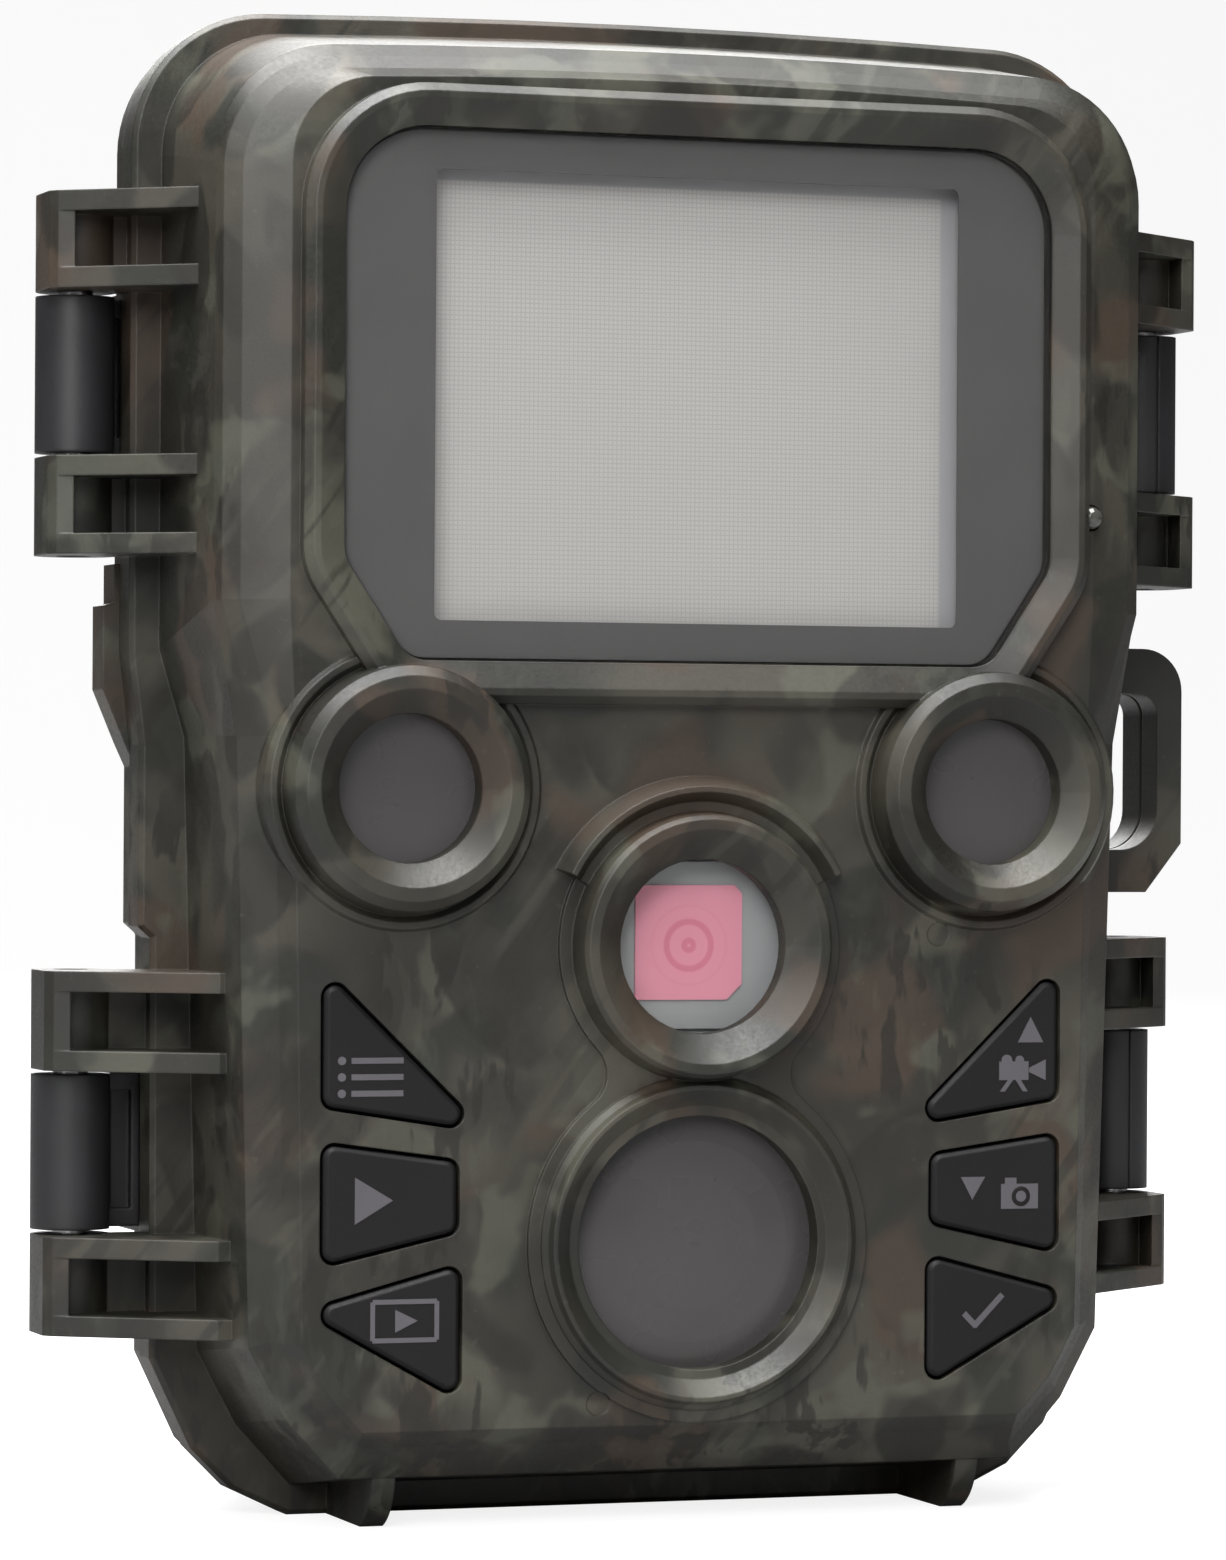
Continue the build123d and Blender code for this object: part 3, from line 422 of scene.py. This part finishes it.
BY_NODE = {
    PLASTIC: ["front_shell", "rear_shell", "tree_brackets"],
    BLACK: ["hinge_knuckle_upper", "hinge_knuckle_lower", "latch_lever_upper", "latch_lever_lower",
            "inner_cover", "lens_barrel", "lcd_frame", "switch_body", "speaker"],
    CHIP: ["board_chips", "memory_card"],
    KEY: ["key_menu", "key_forward", "key_play", "key_up", "key_down", "key_ok"],
    BORDER: ["display_border"],
    LCD: ["lcd_panel"],
    GLASS: ["display_window"],
    LENS_PANE: ["lens_window", "lens_element"],
    WINDOW: ["led_window_left", "led_window_right", "pir_window"],
    FILM: ["lens_film"],
    PALE: ["lens_holder", "pir_housing", "switch_knob"],
    BOARD: ["main_board", "led_board_left", "led_board_right", "camera_board", "pir_board"],
    RESIN: ["ir_leds_left", "ir_leds_right"],
    LIGHT_PIPE: ["status_light"],
    STEEL: ["hinge_pin_upper", "hinge_pin_lower", "latch_pin_upper", "latch_pin_lower",
            "cover_screws", "leaf_screws", "pir_sensor", "microphone"],
    NICKEL: ["usb_port", "card_socket", "battery_contacts", "battery_springs", "key_switches"],
    BRASS: ["tripod_insert"],
    RUBBER: ["door_gasket"],
    SLEEVE: ["battery_cell_1", "battery_cell_2", "battery_cell_3", "battery_cell_4"],
    LABEL: ["rating_label"],
}
for surface, names in BY_NODE.items():
    for name in names:
        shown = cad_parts[name]
        shown.data.materials.clear()
        shown.data.materials.append(surface.material)


# ------------------------------------------------------------------ geometry helpers
def mesh_from(build, name):
    """The mesh that a bmesh has built up. The bmesh is freed."""
    mesh = bpy.data.meshes.new(name)
    build.to_mesh(mesh)
    build.free()
    return mesh


def add_mesh(name, mesh, surface, body):
    """A finished mesh as a piece of the object that moves with a body."""
    piece = bpy.data.objects.new(name, mesh)
    bpy.context.scene.collection.objects.link(piece)
    mesh.materials.append(surface.material)
    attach(piece, body)
    return piece


def plates(name, outlines, back_y, thickness, surface, body):
    """Thin printed plates facing -Y. Each outline is a list of (X, Z) points in metres."""
    build = bmesh.new()
    for outline in outlines:
        back = [build.verts.new((x, back_y, z)) for x, z in outline]
        front = [build.verts.new((x, back_y - thickness, z)) for x, z in outline]
        build.faces.new(front)
        build.faces.new(list(reversed(back)))
        count = len(outline)
        for i in range(count):
            j = (i + 1) % count
            build.faces.new((front[i], front[j], back[j], back[i]))
    bmesh.ops.recalc_face_normals(build, faces=build.faces)
    return add_mesh(name, mesh_from(build, name), surface, body)


def box_outline(x, z, width, tall):
    return [(x - width / 2, z - tall / 2), (x + width / 2, z - tall / 2),
            (x + width / 2, z + tall / 2), (x - width / 2, z + tall / 2)]


def round_outline(x, z, radius, steps=28):
    turns = [2 * pi * i / steps for i in range(steps)]
    return [(x + radius * cos(turn), z + radius * sin(turn)) for turn in turns]


def bar_outline(start, end, width):
    """Rectangle along a line from start to end."""
    run = Vector((end[0] - start[0], end[1] - start[1])).normalized()
    side = Vector((-run.y, run.x)) * width / 2
    return [(start[0] + side.x, start[1] + side.y), (start[0] - side.x, start[1] - side.y),
            (end[0] - side.x, end[1] - side.y), (end[0] + side.x, end[1] + side.y)]


def shifted(outline, x, z):
    """Outline drawn in millimetres about its own centre, placed at (x, z) in metres."""
    return [(x + px * MM, z + pz * MM) for px, pz in outline]


# ------------------------------------------------------------------ key symbols
KEY_FACE_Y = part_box("key_up")[0][1]
PRINT = 0.03 * MM                       # thickness of the print
HAIR = 0.002 * MM                       # step between shapes that overlap


def list_picture():
    """Menu key: three lines, each with a dot before it."""
    x, z = -0.0243, 0.0322
    rows = [z + dz * MM for dz in (-1.15, 0.0, 1.15)]
    lines = [box_outline(x + 0.4 * MM, row, 3.8 * MM, 0.42 * MM) for row in rows]
    dots = [round_outline(x - 2.2 * MM, row, 0.30 * MM, 16) for row in rows]
    return lines + dots


def forward_picture():
    """Forward key: a triangle that points right."""
    return [[(-0.0255, 0.0252), (-0.0255, 0.0219), (-0.0227, 0.02355)]]


def replay_picture():
    """Play key: a small triangle in a frame."""
    x, z = -0.0218, 0.0151
    corners = box_outline(x, z, 4.7 * MM, 2.7 * MM)
    sides = [bar_outline(corners[i], corners[(i + 1) % 4], 0.34 * MM) for i in range(4)]
    return sides + [shifted([(-0.7, -0.8), (0.95, 0), (-0.7, 0.8)], x, z)]


def video_picture():
    """Up key: an arrow above a video camera with two reels and two legs."""
    arrow = [(0.0256, 0.0361), (0.0246, 0.03425), (0.0266, 0.03425)]
    body = box_outline(0.0243, 0.0322, 2.3 * MM, 1.35 * MM)
    hood = [(0.0255, 0.0321), (0.0268, 0.0315), (0.0268, 0.0330), (0.0255, 0.0324)]
    left_leg = [(0.0239, 0.0316), (0.0243, 0.0316), (0.0236, 0.0307), (0.0232, 0.0307)]
    right_leg = [(0.0244, 0.0316), (0.0248, 0.0316), (0.0254, 0.0307), (0.0250, 0.0307)]
    back_reel = round_outline(0.02375, 0.03295, 0.42 * MM)
    front_reel = round_outline(0.02475, 0.03295, 0.34 * MM)
    return [arrow, body, hood, left_leg, right_leg, back_reel, front_reel]


def photo_picture():
    """Down key: an arrow beside a photo camera. Its lens is added on top."""
    arrow = [(0.0202, 0.02455), (0.0211, 0.0229), (0.0221, 0.02455)]
    body = box_outline(0.0248, 0.0231, 2.9 * MM, 1.8 * MM)
    viewfinder = box_outline(0.0241, 0.0242, 0.9 * MM, 0.5 * MM)
    return [arrow, body, viewfinder]


def tick_picture():
    """OK key: a tick."""
    return [bar_outline((0.0205, 0.0147), (0.02145, 0.01375), 0.44 * MM),
            bar_outline((0.0213, 0.01375), (0.0235, 0.0160), 0.44 * MM)]


def key_symbols():
    """Plain pictures on the six keys, in place of words."""
    pictures = {"key_menu": list_picture(), "key_forward": forward_picture(), "key_play": replay_picture(),
                "key_up": video_picture(), "key_down": photo_picture(), "key_ok": tick_picture()}
    for body, outlines in pictures.items():
        # each shape lies a hair in front of the last, so that overlapping shapes don't share a face
        for step, outline in enumerate(outlines):
            plates(f"symbol_{body}_{step}", [outline], KEY_FACE_Y + HAIR, PRINT + step * HAIR, SYMBOL,
                   body)
    plates("symbol_lens_ring", [round_outline(0.0249, 0.0231, 0.72 * MM)], KEY_FACE_Y, PRINT + 0.02 * MM,
           KEY, "key_down")
    plates("symbol_lens_dot", [round_outline(0.0249, 0.0231, 0.40 * MM)], KEY_FACE_Y, PRINT + 0.03 * MM,
           SYMBOL, "key_down")


key_symbols()


# ------------------------------------------------------------------ coil springs and tripod thread
COIL_STEPS = 24                         # straight pieces in one turn of a coil


def coil(name, start, along, radii, length, turns, wire, surface, body):
    """Wire coil from start towards along, its radius running evenly from radii[0] to radii[1]."""
    side = Vector((0, 0, 1)) if abs(along.z) < 0.5 else Vector((1, 0, 0))
    other = along.cross(side)
    steps = int(turns * COIL_STEPS)
    curve = bpy.data.curves.new(name, "CURVE")
    curve.dimensions = "3D"
    curve.bevel_depth = wire
    curve.bevel_resolution = 3
    line = curve.splines.new("POLY")
    line.points.add(steps)
    for i in range(steps + 1):
        share = i / steps
        angle = 2 * pi * turns * share
        radius = radii[0] + (radii[1] - radii[0]) * share
        outward = side * (radius * cos(angle)) + other * (radius * sin(angle))
        line.points[i].co = (*(start + along * (length * share) + outward), 1.0)
    rough = bpy.data.objects.new(name, curve)
    mesh = bpy.data.meshes.new_from_object(rough)
    bpy.data.objects.remove(rough)
    for face in mesh.polygons:
        face.use_smooth = True
    mesh.materials.clear()
    return add_mesh(name, mesh, surface, body)


def spring_leaf(number, centre):
    """The small upright plate that a battery spring stands on."""
    leaf = bmesh.new()
    bmesh.ops.create_cube(leaf, size=1.0)
    bmesh.ops.scale(leaf, vec=(0.4 * MM, 8 * MM, 10 * MM), verts=leaf.verts)
    bmesh.ops.translate(leaf, vec=centre, verts=leaf.verts)
    return add_mesh(f"spring_leaf_{number}", mesh_from(leaf, "spring_leaf"), NICKEL, "front")


def battery_springs():
    """A conical coil on a small plate at the flat end of each cell, in place of the plain rings."""
    low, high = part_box("battery_springs")
    standing = []
    for number in range(4):
        cell_low, cell_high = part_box(f"battery_cell_{number + 1}")
        way = 1 if number % 2 == 0 else -1
        wall = low[0] if way == 1 else high[0]
        y = (cell_low[1] + cell_high[1]) / 2
        z = (cell_low[2] + cell_high[2]) / 2
        start = Vector((wall + way * 0.75 * MM, y, z))
        standing.append(coil(f"spring_coil_{number + 1}", start, Vector((way, 0, 0)), (3.9 * MM, 2.5 * MM),
                             2.0 * MM, 3.2, 0.33 * MM, NICKEL, "front"))
        standing.append(spring_leaf(number + 1, (wall + way * 0.2 * MM, y, z)))
    for piece in standing:
        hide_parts("battery_springs")


def tripod_thread():
    """Thread turns standing in from the wall of the insert."""
    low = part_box("tripod_insert")[0]
    coil("tripod_thread", Vector((0, 0, low[2] + 0.5 * MM)), Vector((0, 0, 1)), (2.68 * MM, 2.68 * MM),
         7.6 * MM, 6.0, 0.22 * MM, BRASS, "rear")


battery_springs()
tripod_thread()


# ------------------------------------------------------------------ stage, light and camera
ROOM = 0.10                             # brightness of the room round the object
PAPER_GLOW = 0.84                       # brightness added to the paper where the camera sees it
FLOOR_FRONT = -2.5                      # metres from the origin, along Y
FLOOR_BACK = 0.9
CURVE_RADIUS = 0.7                      # of the bend up into the backdrop
CURVE_STEPS = 12
BACKDROP_TOP = 3.0
STAGE_HALF_WIDTH = 3.5


def paper():
    """Backdrop paper. It glows for the camera only, so it shows bright and lights the object little."""
    surface = plain("stage_paper", grey(145), 0.9, 0.1, mottling=0.004, grain=0.4, relief=0.01, edge=0.0)
    tree = surface.tree
    path = tree.nodes.new("ShaderNodeLightPath")
    tree.links.new(path.outputs["Is Camera Ray"], surface.shader.inputs["Emission Strength"])
    surface.shader.inputs["Emission Color"].default_value = (PAPER_GLOW, PAPER_GLOW, PAPER_GLOW, 1.0)
    return surface


def stage():
    """Pale floor that curves up into a pale backdrop."""
    profile = [(FLOOR_FRONT, 0.0), (FLOOR_BACK, 0.0)]
    for i in range(1, CURVE_STEPS + 1):
        angle = pi / 2 * i / CURVE_STEPS
        profile.append((FLOOR_BACK + CURVE_RADIUS * sin(angle), CURVE_RADIUS - CURVE_RADIUS * cos(angle)))
    profile.append((FLOOR_BACK + CURVE_RADIUS, BACKDROP_TOP))
    build = bmesh.new()
    left, right = [[build.verts.new((x, y, z)) for y, z in profile]
                   for x in (-STAGE_HALF_WIDTH, STAGE_HALF_WIDTH)]
    for i in range(len(profile) - 1):
        build.faces.new((left[i], right[i], right[i + 1], left[i + 1]))
    mesh = mesh_from(build, "stage")
    mesh.materials.append(paper().material)
    for face in mesh.polygons:
        face.use_smooth = True
    floor = bpy.data.objects.new("stage", mesh)
    bpy.context.scene.collection.objects.link(floor)


def softbox(name, place, aim, width, tall, power):
    """Rectangular lamp at place, turned towards aim. Sizes in metres, power in watts."""
    lamp = bpy.data.lights.new(name, "AREA")
    lamp.shape = "RECTANGLE"
    lamp.size = width
    lamp.size_y = tall
    lamp.energy = power
    standing = bpy.data.objects.new(name, lamp)
    standing.location = place
    standing.rotation_euler = (Vector(aim) - Vector(place)).to_track_quat("-Z", "Y").to_euler()
    bpy.context.scene.collection.objects.link(standing)


def surroundings():
    """Dim room. It looks white wherever it is seen."""
    world = bpy.data.worlds.new("studio")
    bpy.context.scene.world = world
    world.use_nodes = True
    tree = world.node_tree
    backdrop = tree.nodes["Background"]
    backdrop.inputs["Color"].default_value = (1.0, 1.0, 1.0, 1.0)
    seen = tree.nodes.new("ShaderNodeMapRange")
    tree.links.new(tree.nodes.new("ShaderNodeLightPath").outputs["Is Camera Ray"], seen.inputs["Value"])
    seen.inputs["To Min"].default_value = ROOM
    seen.inputs["To Max"].default_value = 1.0
    tree.links.new(seen.outputs["Result"], backdrop.inputs["Strength"])


def light():
    """Soft key from the upper left, large lamps above and behind, and weak ones left and right."""
    middle = (0, -0.01, 0.055)
    softbox("key", (-0.33, -0.58, 0.38), middle, 0.42, 0.42, 5.2)
    softbox("strip", (-0.80, -0.50, 0.25), middle, 0.10, 0.8, 0.5)
    softbox("fill", (0.32, -0.95, 0.14), middle, 0.35, 0.2, 0.2)
    softbox("above", (-0.08, -0.06, 0.62), middle, 0.6, 0.5, 16.0)
    softbox("rear", (0.15, 0.80, 0.45), middle, 0.5, 0.5, 5.0)


def camera():
    """Long lens on the left of the object, level with the middle of the body."""
    eye = Vector((-0.1499, -0.4394, 0.0522))
    azimuth = radians(19.19)
    tilt_up = radians(0.116)
    roll = radians(0.342)
    lens = bpy.data.cameras.new("camera")
    lens.lens = 142.0
    lens.sensor_width = 36.0
    lens.clip_start = 0.02
    made = bpy.data.objects.new("camera", lens)
    bpy.context.scene.collection.objects.link(made)
    level = Matrix.Rotation(-azimuth, 4, "Z") @ Matrix.Rotation(pi / 2 + tilt_up, 4, "X")
    made.matrix_world = Matrix.Translation(eye) @ level @ Matrix.Rotation(roll, 4, "Z")
    bpy.context.scene.camera = made


stage()
surroundings()
light()
camera()
bpy.context.scene.view_settings.view_transform = "Standard"
